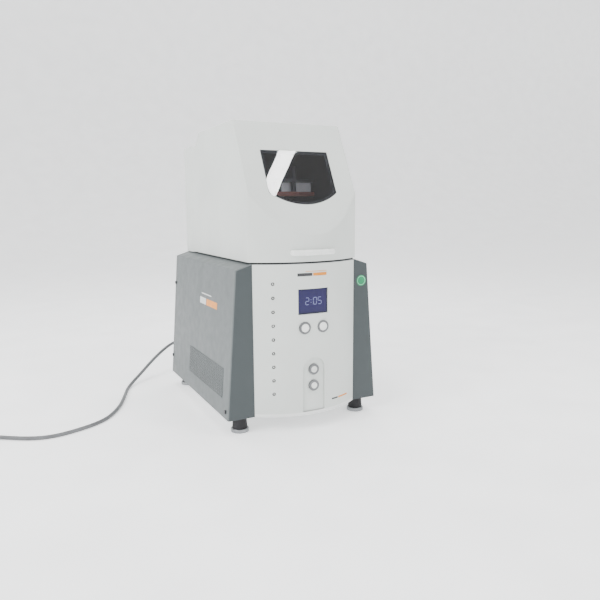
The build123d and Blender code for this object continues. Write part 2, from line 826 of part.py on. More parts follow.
# Lid shell, open below and behind
lid_outer = lid_form(0, lid_bottom, seam)
lid_inner = lid_form(lid_wall, lid_bottom - 5, seam + 5)
with BuildPart() as lid_shell:
    add(lid_outer)
    smile = lid_shell.edges().filter_by(GeomType.LINE, reverse=True).sort_by(Axis.Z)[-1]
    fillet(smile, smile_radius)
    outer = lid_shell.edges().filter_by_position(Axis.Y, -1000, seam - 1)
    outer = outer.filter_by_position(Axis.Z, lid_bottom + 1, lid_top + 1)
    corners = outer.filter_by(Axis.Z) + outer.filter_by(Plane.YZ) + outer.filter_by(Axis.X)
    fillet(ShapeList(set(corners)), lid_edge_radius)
    add(lid_inner, mode=Mode.SUBTRACT)
    with BuildSketch(window_plane):
        add(window_outline(0))
    extrude(amount=-pane_thickness, mode=Mode.SUBTRACT)
    with BuildSketch(window_plane):
        add(window_outline(-pane_ledge))
    extrude(amount=-2 * lid_wall, mode=Mode.SUBTRACT)
save(lid_shell, "lid_shell")

# Window pane, flush in its rebate
with BuildPart() as window_pane:
    with BuildSketch(window_plane):
        add(window_outline(-fit_gap))
    extrude(amount=-pane_thickness)
save(window_pane, "window_pane")

# Grip lip on the lid's front
with BuildPart() as lid_handle:
    with BuildSketch(Plane.XY.offset(grip_bottom)):
        add(curved_plan(grip_half, -grip_reach, curve_centre))
        add(curved_plan(grip_half + 5, 0, curve_centre), mode=Mode.SUBTRACT)
    extrude(amount=grip_height)
    ends = lid_handle.edges().filter_by(Axis.Z).sort_by(Axis.Y)[:2]
    fillet(ends, grip_reach - 1.5)
    rims = lid_handle.faces().filter_by(Axis.Z).edges().filter_by_position(Axis.Y, -1000, front_y(0) - 1)
    fillet(rims, grip_height / 3)
save(lid_handle, "lid_handle")

# Sound liners glued inside the lid
liner_bottom = deck_top + liner_rise
liner_back = chamber_front - liner_thickness
liner_inset = lid_wall + liner_margin
inner_half = lid_half - lid_wall
top_liner_half = inner_half - 2 * liner_margin
top_liner_front = slope_y(lid_top - lid_wall, lid_wall) + liner_margin
with BuildPart() as lid_liners:
    for side in (-1, 1):
        with BuildSketch(Plane.YZ.offset(side * inner_half)):
            add(lid_side_view(liner_inset, lid_corner + liner_inset + liner_margin / 2, liner_back, liner_bottom))
        extrude(amount=-side * liner_thickness)
    block(-top_liner_half, top_liner_half, top_liner_front, top_back_y - liner_inset,
          lid_top - lid_wall - liner_thickness, lid_top - lid_wall)
save(lid_liners, "lid_liners")

# Butt hinges on top of the seam: each has three knuckles, the middle one on the lid's leaf
pivot_y = seam + seam_gap / 2
pivot_z = shoulder_z + knuckle_radius + 0.2
leaf_start = knuckle_radius + 0.5
knuckle_third = hinge_length / 6
with BuildPart() as hinge_lid_leaves:
    for x in (-hinge_x, hinge_x):
        block(x - hinge_length / 2, x + hinge_length / 2, pivot_y - leaf_depth, pivot_y - leaf_start,
              shoulder_z, shoulder_z + leaf_thickness)
        block(x - knuckle_third + fit_gap, x + knuckle_third - fit_gap, pivot_y - leaf_start, pivot_y - 2,
              shoulder_z, shoulder_z + leaf_thickness)
        bar_x(knuckle_radius, x - knuckle_third + fit_gap, x + knuckle_third - fit_gap, pivot_y, pivot_z)
        bar_x(hinge_pin_radius + running_gap, x - hinge_length, x + hinge_length, pivot_y, pivot_z, Mode.SUBTRACT)
save(hinge_lid_leaves, "hinge_lid_leaves")
with BuildPart() as hinge_base_leaves:
    for x in (-hinge_x, hinge_x):
        block(x - hinge_length / 2, x + hinge_length / 2, pivot_y + leaf_start, pivot_y + leaf_depth,
              shoulder_z, shoulder_z + leaf_thickness)
        for end in (-1, 1):
            x0, x1 = sorted((x + end * knuckle_third, x + end * hinge_length / 2))
            block(x0, x1, pivot_y + 2, pivot_y + leaf_start, shoulder_z, shoulder_z + leaf_thickness)
            bar_x(knuckle_radius, x0, x1, pivot_y, pivot_z)
        bar_x(hinge_pin_radius, x - hinge_length, x + hinge_length, pivot_y, pivot_z, Mode.SUBTRACT)
save(hinge_base_leaves, "hinge_base_leaves")
with BuildPart() as hinge_pins:
    for x in (-hinge_x, hinge_x):
        bar_x(hinge_pin_radius, x - hinge_length / 2 - 1.5, x + hinge_length / 2 + 1.5, pivot_y, pivot_z)
save(hinge_pins, "hinge_pins")

# Guide block on the deck, with four bushings for the two guide shafts
with BuildPart() as guide_block:
    block(-guide_half, guide_half, mech_y - guide_depth, mech_y + guide_depth, guide_bottom, guide_top)
    fillet(guide_block.edges().filter_by(Axis.Z), guide_corner)
    block(-guide_half - guide_foot_reach, guide_half + guide_foot_reach, mech_y - guide_depth - guide_foot_reach,
          mech_y + guide_depth + guide_foot_reach, deck_top, deck_top + guide_foot)
    for x in (-guide_spread, guide_spread):
        bar_z(bushing_radius, guide_bottom, guide_top, x, mech_y, Mode.SUBTRACT)
    block(-guide_foot_reach, guide_foot_reach, mech_y - guide_depth, mech_y + guide_depth, guide_bottom,
          deck_bottom - frame_thickness, Mode.SUBTRACT)
save(guide_block, "guide_block")
with BuildPart() as guide_bushings:
    for x in (-guide_spread, guide_spread):
        for z in (guide_bottom, guide_top - bushing_length):
            bar_z(bushing_radius, z, z + bushing_length, x, mech_y)
        bar_z(guide_radius + running_gap, guide_bottom, guide_top, x, mech_y, Mode.SUBTRACT)
save(guide_bushings, "guide_bushings")

# Guide shafts from the crosshead up to the clamp
with BuildPart() as guide_shafts:
    for x in (-guide_spread, guide_spread):
        bar_z(guide_radius, crosshead_bottom, clamp_bottom, x, mech_y)
save(guide_shafts, "guide_shafts")

# Crosshead between the shafts' lower ends, slotted for the rod's small end
rod_slot_half = small_end_radius + rod_end_gap
rod_slot_depth = rod_width / 2 + crosshead_gap
with BuildPart() as crosshead:
    block(-crosshead_half, crosshead_half, mech_y - crosshead_depth, mech_y + crosshead_depth,
          crosshead_bottom, crosshead_top)
    fillet(crosshead.edges().filter_by(Axis.Y), crosshead_corner)
    for x in (-guide_spread, guide_spread):
        bar_z(guide_radius, crosshead_bottom, crosshead_top, x, mech_y, Mode.SUBTRACT)
    block(-rod_slot_half, rod_slot_half, mech_y - rod_slot_depth, mech_y + rod_slot_depth,
          crosshead_bottom, wrist_z + rod_slot_half, Mode.SUBTRACT)
    bar_y(wrist_pin_radius, mech_y - crosshead_depth, mech_y + crosshead_depth, 0, wrist_z, Mode.SUBTRACT)
save(crosshead, "crosshead")
with BuildPart() as wrist_pin:
    bar_y(wrist_pin_radius, mech_y - crosshead_depth, mech_y + crosshead_depth, 0, wrist_z)
save(wrist_pin, "wrist_pin")

# Connecting rod at bottom dead centre, with its two bearings and the crank pin
rod_bottom_z = crank_z - crank_radius
rod_front = mech_y - rod_width / 2
rod_back = mech_y + rod_width / 2
with BuildPart() as con_rod:
    bar_y(big_end_radius, rod_front, rod_back, 0, rod_bottom_z)
    bar_y(small_end_radius, rod_front, rod_back, 0, wrist_z)
    block(-shank_half, shank_half, rod_front, rod_back, rod_bottom_z, wrist_z)
    for y0, y1 in ((rod_front, rod_front + shank_groove), (rod_back - shank_groove, rod_back)):
        block(-shank_half / 2, shank_half / 2, y0, y1, rod_bottom_z + big_end_radius + rod_end_gap,
              wrist_z - small_end_radius - rod_end_gap, Mode.SUBTRACT)
    bar_y(big_bearing_radius, rod_front, rod_back, 0, rod_bottom_z, Mode.SUBTRACT)
    bar_y(small_bush_radius, rod_front, rod_back, 0, wrist_z, Mode.SUBTRACT)
save(con_rod, "con_rod")
with BuildPart() as rod_bearings:
    bar_y(big_bearing_radius, rod_front, rod_back, 0, rod_bottom_z)
    bar_y(crank_pin_radius, rod_front, rod_back, 0, rod_bottom_z, Mode.SUBTRACT)
    bar_y(small_bush_radius, rod_front, rod_back, 0, wrist_z)
    bar_y(wrist_pin_radius + running_gap, rod_front, rod_back, 0, wrist_z, Mode.SUBTRACT)
save(rod_bearings, "rod_bearings")
with BuildPart() as crank_pin:
    bar_y(crank_pin_radius, rod_front, disc_front - fit_gap, 0, rod_bottom_z)
    bar_y(crank_pin_radius + pin_head, rod_front - pin_head, rod_front, 0, rod_bottom_z)
save(crank_pin, "crank_pin")

# Crankshaft: disc lightened on its pin side, and the shaft through the bearing block
disc_back = disc_front + disc_thickness
shaft_end = pulley_front + pulley_width + pin_head
with BuildPart() as crankshaft:
    bar_y(disc_radius, disc_front, disc_back, 0, crank_z)
    bar_y(crank_shaft_radius, disc_back, shaft_end, 0, crank_z)
    for x in (-disc_hole_x, disc_hole_x):
        bar_y(disc_hole_radius, disc_front, disc_back, x, crank_z - disc_hole_drop, Mode.SUBTRACT)
save(crankshaft, "crankshaft")

# Bearing block that stands on the pan, and its two bearings
block_back = block_front + block_length
block_top = crank_z + bearing_radius + block_roof
with BuildPart() as bearing_block:
    block(-block_half, block_half, block_front, block_back, pan_top, block_top)
    fillet(bearing_block.edges().filter_by(Axis.Y).group_by(Axis.Z)[-1], 2 * block_roof)
    block(-block_half - block_foot_reach, block_half + block_foot_reach, block_front + block_roof,
          block_back - block_roof, pan_top, pan_top + block_foot)
    bar_y(bearing_radius - bearing_step, block_front, block_back, 0, crank_z, Mode.SUBTRACT)
    for y in (block_front, block_back - bearing_width):
        bar_y(bearing_radius, y, y + bearing_width, 0, crank_z, Mode.SUBTRACT)
save(bearing_block, "bearing_block")
with BuildPart() as crank_bearings:
    for y in (block_front, block_back - bearing_width):
        bar_y(bearing_radius, y, y + bearing_width, 0, crank_z)
        bar_y(crank_shaft_radius + running_gap, y, y + bearing_width, 0, crank_z, Mode.SUBTRACT)
save(crank_bearings, "crank_bearings")

# Crank pulley with a turned recess round its hub
pulley_back = pulley_front + pulley_width
pulley_hub = (crank_pulley_radius - pulley_rim + crank_shaft_radius) / 2 - pulley_hole_radius
pulley_hole_x = (crank_pulley_radius - pulley_rim + pulley_hub) / 2
with BuildPart() as crank_pulley:
    bar_y(crank_pulley_radius, pulley_front, pulley_back, 0, crank_z)
    bar_y(crank_pulley_radius - pulley_rim, pulley_front, pulley_front + pulley_recess, 0, crank_z, Mode.SUBTRACT)
    bar_y(pulley_hub, pulley_front, pulley_front + pulley_recess, 0, crank_z)
    bar_y(crank_shaft_radius, pulley_front, pulley_back, 0, crank_z, Mode.SUBTRACT)
    for x in (-pulley_hole_x, pulley_hole_x):
        bar_y(pulley_hole_radius, pulley_front, pulley_back, x, crank_z, Mode.SUBTRACT)
save(crank_pulley, "crank_pulley")

# Motor on its bracket, and the motor's shaft with its pulley
bracket_back = pulley_front - bracket_gap
bracket_front = bracket_back - bracket_thickness
motor_front = bracket_front - motor_length
shaft_start = motor_front + motor_shaft_inset
with BuildPart() as motor_body:
    bar_y(motor_radius, motor_front + motor_cap_length, bracket_front, 0, motor_z)
    bar_y(motor_radius - motor_cap_step, motor_front, motor_front + motor_cap_length, 0, motor_z)
    with Locations((0, (motor_front + motor_cap_length + bracket_front) / 2, motor_z + motor_radius)):
        Box(terminal_width, terminal_length, terminal_height)
    bar_y(motor_shaft_radius + 1, shaft_start, bracket_front, 0, motor_z, Mode.SUBTRACT)
save(motor_body, "motor_body")
with BuildPart() as motor_bracket:
    block(-frame_inner, frame_inner, bracket_front, bracket_back,
          motor_z - motor_radius - bracket_margin, motor_z + motor_radius + bracket_margin)
    bar_y(motor_shaft_radius + bracket_thickness, bracket_front, bracket_back, 0, motor_z, Mode.SUBTRACT)
    for side in (-1, 1):
        x0, x1 = sorted((side * frame_inner, side * (frame_inner - frame_thickness)))
        block(x0, x1, bracket_front - bracket_flange, bracket_front, motor_z - motor_radius, motor_z + motor_radius)
save(motor_bracket, "motor_bracket")
with BuildPart() as motor_pulley:
    bar_y(motor_pulley_radius, pulley_front, pulley_back, 0, motor_z)
    bar_y(motor_shaft_radius, shaft_start + fit_gap, pulley_back + pin_head, 0, motor_z)
save(motor_pulley, "motor_pulley")


def belt_outline(lower, upper):
    """A loop round two circles, one at the crankshaft and one at the motor's shaft."""
    rise = motor_z - crank_z
    lean = (lower - upper) / rise
    side = sqrt(1 - lean**2)
    with BuildSketch(Plane.XY) as outline:
        with BuildLine():
            ThreePointArc((-lower * side, crank_z + lower * lean), (0, crank_z - lower),
                          (lower * side, crank_z + lower * lean))
            ThreePointArc((upper * side, motor_z + upper * lean), (0, motor_z + upper),
                          (-upper * side, motor_z + upper * lean))
            Line((lower * side, crank_z + lower * lean), (upper * side, motor_z + upper * lean))
            Line((-upper * side, motor_z + upper * lean), (-lower * side, crank_z + lower * lean))
        make_face()
    return outline.sketch


# Drive belt, with a running gap round both pulleys
with BuildPart() as drive_belt:
    with BuildSketch(Plane.XZ.offset(-(pulley_back - 1))):
        add(belt_outline(crank_pulley_radius + belt_gap + belt_thickness,
                         motor_pulley_radius + belt_gap + belt_thickness))
        add(belt_outline(crank_pulley_radius + belt_gap, motor_pulley_radius + belt_gap), mode=Mode.SUBTRACT)
    extrude(amount=pulley_width - 2)
save(drive_belt, "drive_belt")

# Motor drive on the left frame plate
drive_front = frame_front + drive_inset
drive_bottom = deck_bottom - drive_drop
drive_face = -frame_inner + drive_depth
fin_pitch = drive_length / (drive_fins + 0.5)
with BuildPart() as motor_drive:
    block(-frame_inner, drive_face, drive_front, drive_front + drive_length,
          drive_bottom, drive_bottom + drive_length)
    for number in range(drive_fins):
        fin_y = drive_front + (number + 0.5) * fin_pitch
        block(drive_face - fin_depth, drive_face, fin_y, fin_y + fin_pitch / 2,
              drive_bottom, drive_bottom + drive_length, Mode.SUBTRACT)
save(motor_drive, "motor_drive")

# Clamp base on the shafts, posts, two sample plates, top plate and knobs
clamp_top = clamp_bottom + clamp_thickness
clamp_front = mech_y - clamp_depth / 2
clamp_back = mech_y + clamp_depth / 2
plate_top = clamp_top + plate_height
press_plate_top = plate_top + clamp_plate_thickness
guide_post_top = press_plate_top + clamp_lift + post_reserve
screw_post_top = guide_post_top + knob_height
post_ends = (clamp_front - post_overhang, clamp_back + post_overhang)
guide_spots = [(x, y) for x in (-post_x, post_x) for y in post_ends]
screw_spots = [(0, y) for y in post_ends]
tongue_half = post_x + post_margin
tongue_front = clamp_front - 2 * post_overhang
tongue_back = clamp_back + 2 * post_overhang
with BuildPart() as clamp_base:
    block(-clamp_half, clamp_half, clamp_front, clamp_back, clamp_bottom, clamp_top)
    block(-tongue_half, tongue_half, tongue_front, tongue_back, clamp_bottom, clamp_top)
    fillet(clamp_base.edges().filter_by(Axis.Z), clamp_corner)
    for spot in guide_spots + screw_spots:
        bar_z(clamp_post_radius, clamp_bottom, clamp_top, *spot, Mode.SUBTRACT)
save(clamp_base, "clamp_base")
with BuildPart() as clamp_posts:
    for spot in guide_spots:
        bar_z(clamp_post_radius, clamp_bottom, guide_post_top, *spot)
    for spot in screw_spots:
        bar_z(clamp_post_radius, clamp_bottom, screw_post_top, *spot)
save(clamp_posts, "clamp_posts")
with BuildPart() as sample_plates:
    for side in (-1, 1):
        x0, x1 = sorted((side * plate_gap / 2, side * (plate_gap / 2 + plate_width)))
        block(x0, x1, mech_y - plate_length / 2, mech_y + plate_length / 2, clamp_top, plate_top)
    fillet(sample_plates.edges().filter_by(Axis.Z), clamp_corner)
save(sample_plates, "sample_plates")
with BuildPart() as clamp_plate:
    block(-clamp_half, clamp_half, clamp_front, clamp_back, plate_top, press_plate_top)
    block(-tongue_half, tongue_half, tongue_front, tongue_back, plate_top, press_plate_top)
    fillet(clamp_plate.edges().filter_by(Axis.Z), clamp_corner)
    for spot in guide_spots + screw_spots:
        bar_z(clamp_post_radius + running_gap, plate_top, press_plate_top, *spot, Mode.SUBTRACT)
    block(-plate_gap, plate_gap, clamp_front + slot_margin, clamp_back - slot_margin, plate_top,
          press_plate_top, Mode.SUBTRACT)
save(clamp_plate, "clamp_plate")

# Knobs on the two screw posts
for spot, name in zip(screw_spots, ("front_clamp_knob", "rear_clamp_knob")):
    with BuildPart() as clamp_knob:
        bar_z(knob_radius, press_plate_top, press_plate_top + knob_height, *spot)
        fillet(clamp_knob.edges().filter_by(GeomType.CIRCLE).group_by(Axis.Z)[-1], knob_floor)
        with Locations((*spot, press_plate_top + knob_height / 2 + knob_floor)):
            with PolarLocations(knob_radius + knob_scallop / 2, knob_lobes):
                Cylinder(knob_scallop, knob_height, mode=Mode.SUBTRACT)
        bar_z(clamp_post_radius + running_gap, press_plate_top, press_plate_top + knob_height, *spot, Mode.SUBTRACT)
    save(clamp_knob, name)

# Screws of the side panels
with BuildPart() as side_screws:
    for side in (-1, 1):
        for y, z in panel_screws:
            seat = panel_x(z - screw_head)
            head = (screw_head, seat, seat + screw_head_height)
            shank = (screw_radius, panel_x(z) - screw_length, seat)
            for radius, inner, outer_end in (head, shank):
                x0, x1 = sorted((side * inner, side * outer_end))
                bar_x(radius, x0, x1, y, z)
save(side_screws, "side_screws")

# Cord connector in the inlet, with its tapered strain relief
connector_back = inlet_face + connector_grip
cord_exit = connector_back + relief_length
relief_tip = cord_radius + 1.0
with BuildPart() as cord_connector:
    block(inlet_x - socket_half + fit_gap, inlet_x + socket_half - fit_gap, inlet_face - socket_depth, inlet_face,
          inlet_z - socket_height + fit_gap, inlet_z + socket_height - fit_gap)
    block(inlet_x - connector_half, inlet_x + connector_half, inlet_face, connector_back,
          inlet_z - connector_height, inlet_z + connector_height)
    fillet(cord_connector.faces().sort_by(Axis.Y)[-1].edges(), connector_corner)
    with Locations(Location((inlet_x, connector_back, inlet_z), (-90, 0, 0))):
        Cone(relief_radius, relief_tip, relief_length, align=(Align.CENTER, Align.CENTER, Align.MIN))
save(cord_connector, "cord_connector")

# Mains cord: out of the connector, down to the floor and along it to the coil
floor = cord_radius + 0.05
cord_points = [
    (inlet_x, cord_exit, inlet_z), (inlet_x, 337, inlet_z), (-97, 365, 100), (-122, 384, 92), (-155, 384, 82),
    (-191, 363, 66), (-227, 338, 46), (-262, 310, 24), (-293, 280, 9), (-314, 243, floor),
    (-327, 202, floor), (-340, 160, floor), (-355, 115, floor), (-377, 67, floor), (-404, 25, floor),
    (-438, -1, floor), (-478, -19, floor), (-514, -30, floor), (-545, -29, floor), (-575, -17, floor),
    (-607, 4, floor), (-638, 27, floor), (-664, 49, floor),
]
coil_pitch = 2 * cord_radius
coil_outer_turn = coil_mean + coil_pitch / 2


def corner_radii(points):
    """The arc at each corner of a cord's route, as large as its two runs allow."""
    radii = []
    for before, here, after in zip(points, points[1:], points[2:]):
        run_in = Vector(*here) - Vector(*before)
        run_out = Vector(*after) - Vector(*here)
        turn = radians(run_in.get_angle(run_out))
        radii.append(0.45 * min(run_in.length, run_out.length) / tan(turn / 2))
    return radii


cord_radii = corner_radii(cord_points)
with BuildPart() as cord_run:
    with BuildLine() as route:
        FilletPolyline(*cord_points, radius=cord_radii)
    with BuildSketch(Plane(origin=cord_points[0], z_dir=route.wire().tangent_at(0))):
        Circle(cord_radius)
    sweep(path=route.wire())
save(cord_run, "cord_run")
runs = [(Vector(*b) - Vector(*a)).length for a, b in zip(cord_points, cord_points[1:])]
print("cord runs", [round(run) for run in runs])
print("cord radii in diameters", [round(radius / cord_radius / 2, 1) for radius in cord_radii])
print("cord length", round(route.wire().length), "volume ratio",
      round(cord_run.part.volume / (pi * cord_radius**2 * route.wire().length), 4))

# Coil of the cord's spare length, two turns wide and two high, beside the cord's end
last = Vector(*cord_points[-1])
heading = (last - Vector(*cord_points[-2])).normalized()
coil_x = last.X - coil_outer_turn * heading.Y
coil_y = last.Y + coil_outer_turn * heading.X
coil_top = 2 * coil_pitch
with BuildPart() as cord_coil:
    bar_z(coil_mean + coil_pitch, 0, coil_top, coil_x, coil_y)
    bar_z(coil_mean - coil_pitch, 0, coil_top, coil_x, coil_y, Mode.SUBTRACT)
save(cord_coil, "cord_coil")
print("coil", round(coil_x, 2), round(coil_y, 2), "four turns", round(8 * pi * coil_mean))

# Mains plug lying on the coil, its cord side towards the back
plug_x = coil_x - coil_mean
plug_back = coil_y
plug_front = plug_back - plug_length
plug_middle = coil_top + plug_height / 2
with BuildPart() as mains_plug:
    block(plug_x - plug_half, plug_x + plug_half, plug_front, plug_back, coil_top, coil_top + plug_height)
    fillet(mains_plug.edges().filter_by(Axis.Y), plug_corner)
    with Locations(Location((plug_x, plug_back, plug_middle), (-90, 0, 0))):
        Cone(relief_radius, relief_tip, relief_length, align=(Align.CENTER, Align.CENTER, Align.MIN))
    for x in (plug_x - blade_spread, plug_x + blade_spread):
        block(x - blade_sheet / 2, x + blade_sheet / 2, plug_front - blade_reach, plug_front,
              plug_middle, plug_middle + blade_width)
    bar_y(earth_radius, plug_front - earth_reach, plug_front, plug_x, coil_top + plug_height / 4)
save(mains_plug, "mains_plug")
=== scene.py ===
# A laboratory mixer mill: tapered cabinet, curved control front, and a tilting lid with a window.
# X is to the machine's right, Y to its back, Z up from the floor, all in metres.
from math import cos, pi, radians, sin, sqrt

import bpy
from mathutils import Matrix, Vector


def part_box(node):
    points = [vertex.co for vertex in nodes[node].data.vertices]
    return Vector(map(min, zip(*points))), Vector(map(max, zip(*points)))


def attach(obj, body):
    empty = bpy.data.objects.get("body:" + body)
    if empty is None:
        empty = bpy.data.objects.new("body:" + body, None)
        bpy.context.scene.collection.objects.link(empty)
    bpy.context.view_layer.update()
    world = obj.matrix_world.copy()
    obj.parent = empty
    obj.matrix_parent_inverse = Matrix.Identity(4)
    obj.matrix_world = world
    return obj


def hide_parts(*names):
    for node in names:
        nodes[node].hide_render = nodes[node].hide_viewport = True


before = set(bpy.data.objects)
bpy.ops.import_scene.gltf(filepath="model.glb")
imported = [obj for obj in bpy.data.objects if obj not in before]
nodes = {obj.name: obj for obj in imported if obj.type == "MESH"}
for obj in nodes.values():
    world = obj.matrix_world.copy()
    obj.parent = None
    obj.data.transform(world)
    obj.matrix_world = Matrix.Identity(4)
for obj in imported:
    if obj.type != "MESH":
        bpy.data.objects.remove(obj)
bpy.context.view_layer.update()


def clear_selection():
    """Leaves nothing selected, so that the next operator acts on its own piece."""
    bpy.ops.object.select_all(action="DESELECT")


# Camera at the photograph's place, looking slightly down, with a slight roll
clear_selection()
bpy.ops.object.camera_add(
    location=(-0.5897, -1.3448, 0.4884),
    rotation=(radians(81.02), radians(0.375), radians(-26.92)),
)
camera = bpy.context.object
camera.data.lens = 35.135
camera.data.sensor_width = 36.0
camera.data.clip_end = 30.0
bpy.context.scene.camera = camera


# Studio: a pale floor that runs up into a backdrop, and soft lights
def studio_light(name, place, target, width, height, power):
    """A soft rectangular light at place, turned towards target."""
    bpy.ops.object.light_add(type="AREA", location=place)
    lamp = bpy.context.object
    lamp.name = name
    lamp.data.shape = "RECTANGLE"
    lamp.data.size = width
    lamp.data.size_y = height
    lamp.data.energy = power
    lamp.rotation_euler = (Vector(target) - Vector(place)).to_track_quat("-Z", "Y").to_euler()
    return lamp


studio_light("key_light", (-2.6, -0.9, 2.0), (0.0, 0.0, 0.35), 1.5, 1.5, 95.0)
studio_light("front_fill", (0.9, -2.6, 1.3), (0.0, 0.0, 0.35), 1.8, 1.4, 16.0)
studio_light("top_light", (0.2, 0.4, 2.6), (0.0, 0.0, 0.3), 2.2, 2.2, 62.0)

# A long narrow light whose reflection crosses the window pane at a slant
PANE_CENTRE = Vector((-0.04, -0.17, 0.57))
strip_place = Vector((0.895, -1.290, 2.285))
strip_long = Vector((-0.122, -0.156, -0.156)).normalized()
strip_back = (strip_place - PANE_CENTRE).normalized()
strip_across = strip_long.cross(strip_back).normalized()
strip_long = strip_back.cross(strip_across)
window_strip = studio_light("window_strip", strip_place, PANE_CENTRE, 0.09, 0.36, 12.0)
window_strip.rotation_euler = Matrix((strip_across, strip_long, strip_back)).transposed().to_euler()

world = bpy.data.worlds.new("studio")
bpy.context.scene.world = world
world.use_nodes = True
world.node_tree.nodes["Background"].inputs["Color"].default_value = (1.0, 1.0, 1.0, 1.0)
world.node_tree.nodes["Background"].inputs["Strength"].default_value = 1.15

BACKDROP_Y = 7.0
BACKDROP_HEIGHT = 14.0
BACKDROP_SWEEP = 3.5
FLOOR_SIZE = 44.0
clear_selection()
bpy.ops.mesh.primitive_plane_add(size=FLOOR_SIZE, location=(0.0, BACKDROP_Y - FLOOR_SIZE / 2, 0.0))
floor = bpy.context.object
floor.name = "studio_floor"
bpy.ops.object.transform_apply(location=True, rotation=True, scale=True)


def pick_back_edge():
    """Goes into edit mode with only the floor's edge at the backdrop selected."""
    bpy.ops.object.mode_set(mode="EDIT")
    bpy.ops.mesh.select_mode(type="EDGE")
    bpy.ops.mesh.select_all(action="DESELECT")
    bpy.ops.object.mode_set(mode="OBJECT")
    for edge in floor.data.edges:
        ends = [floor.data.vertices[index].co for index in edge.vertices]
        edge.select = all(end.y > BACKDROP_Y - 0.5 and end.z < 1.0 for end in ends)
    bpy.ops.object.mode_set(mode="EDIT")


pick_back_edge()
bpy.ops.mesh.extrude_region_move(TRANSFORM_OT_translate={"value": (0.0, 0.0, BACKDROP_HEIGHT)})
pick_back_edge()
bpy.ops.mesh.bevel(offset=BACKDROP_SWEEP, segments=20, affect="EDGES")
bpy.ops.mesh.select_all(action="SELECT")
bpy.ops.mesh.faces_shade_smooth()
bpy.ops.object.mode_set(mode="OBJECT")

# Mains cord: out of the connector, along the floor, four turns of coil, and up into the plug
CORD_RADIUS = 0.00425
FLOOR_LINE = 0.0043
cord_route = [
    (-0.085, 0.305989, 0.105), (-0.085, 0.337, 0.105),
    (-0.097, 0.365, 0.100), (-0.122, 0.384, 0.092),
    (-0.155, 0.384, 0.082), (-0.191, 0.363, 0.066), (-0.227, 0.338, 0.046), (-0.262, 0.310, 0.024),
    (-0.293, 0.280, 0.009), (-0.314, 0.243, FLOOR_LINE), (-0.327, 0.202, FLOOR_LINE),
    (-0.340, 0.160, FLOOR_LINE), (-0.355, 0.115, FLOOR_LINE), (-0.377, 0.067, FLOOR_LINE),
    (-0.404, 0.025, FLOOR_LINE), (-0.438, -0.001, FLOOR_LINE), (-0.478, -0.019, FLOOR_LINE),
    (-0.514, -0.030, FLOOR_LINE), (-0.545, -0.029, FLOOR_LINE), (-0.575, -0.017, FLOOR_LINE),
    (-0.607, 0.004, FLOOR_LINE), (-0.638, 0.027, FLOOR_LINE),
]
COIL_X = -0.69743
COIL_Y = 0.00949
OUTER_TURN = 0.05175
INNER_TURN = 0.04325
UPPER_LAYER = FLOOR_LINE + 2 * CORD_RADIUS
TURN_POINTS = 16
COIL_START = radians(49.8)


def ease(share):
    """A smooth step from 0 to 1."""
    share = min(max(share, 0.0), 1.0)
    return share * share * (3 - 2 * share)


for step in range(4 * TURN_POINTS):
    turns = step / TURN_POINTS
    inwards = ease(2 * (turns - 0.75)) - ease(2 * (turns - 2.75))
    radius = OUTER_TURN - (OUTER_TURN - INNER_TURN) * inwards
    height = FLOOR_LINE + (UPPER_LAYER - FLOOR_LINE) * ease(2 * (turns - 1.75))
    angle = COIL_START + 2 * pi * turns
    cord_route.append((COIL_X + radius * cos(angle), COIL_Y + radius * sin(angle), height))
for across, along, height in (
    (0.0334, 0.0395, UPPER_LAYER), (0.0095, 0.0589, 0.0170), (-0.0029, 0.0634, 0.0195),
    (-0.0161, 0.0634, 0.0220), (-0.0285, 0.0589, 0.0245), (-0.0386, 0.0504, 0.0262),
    (-0.0452, 0.0390, 0.0270), (-0.0475, 0.0260, 0.0270),
):
    cord_route.append((COIL_X + across, COIL_Y + along, height))

curve = bpy.data.curves.new("mains_cord", "CURVE")
curve.dimensions = "3D"
spline = curve.splines.new("NURBS")
spline.points.add(len(cord_route) - 1)
for point, place in zip(spline.points, cord_route):
    point.co = (*place, 1.0)
    point.radius = CORD_RADIUS
spline.order_u = 3
spline.use_endpoint_u = True
curve.bevel_depth = 1.0
curve.bevel_resolution = 5
curve.resolution_u = 6
curve.use_fill_caps = True
mains_cord = bpy.data.objects.new("mains_cord", curve)
bpy.context.collection.objects.link(mains_cord)
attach(mains_cord, "cabinet")
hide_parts("cord_run", "cord_coil")


# Finishes, all drawn on Object coordinates
def finish(name, colour, roughness, metallic=0.0):
    """A new finish of one colour, its nodes ready for detail."""
    material = bpy.data.materials.new(name)
    material.use_nodes = True
    shader = material.node_tree.nodes["Principled BSDF"]
    shader.inputs["Base Color"].default_value = (*colour, 1.0)
    shader.inputs["Roughness"].default_value = roughness
    shader.inputs["Metallic"].default_value = metallic
    shader.inputs["Specular IOR Level"].default_value = 0.5 if metallic else 0.35
    return material


def grain(material, scale, detail=4.0, stretch=(1.0, 1.0, 1.0)):
    """Noise at a scale, in features per metre, stretched along the object's axes."""
    tree = material.node_tree
    places = tree.nodes.new("ShaderNodeTexCoord")
    mapping = tree.nodes.new("ShaderNodeMapping")
    mapping.inputs["Scale"].default_value = stretch
    noise = tree.nodes.new("ShaderNodeTexNoise")
    noise.inputs["Scale"].default_value = scale
    noise.inputs["Detail"].default_value = detail
    tree.links.new(places.outputs["Object"], mapping.inputs["Vector"])
    tree.links.new(mapping.outputs["Vector"], noise.inputs["Vector"])
    return noise.outputs["Fac"]


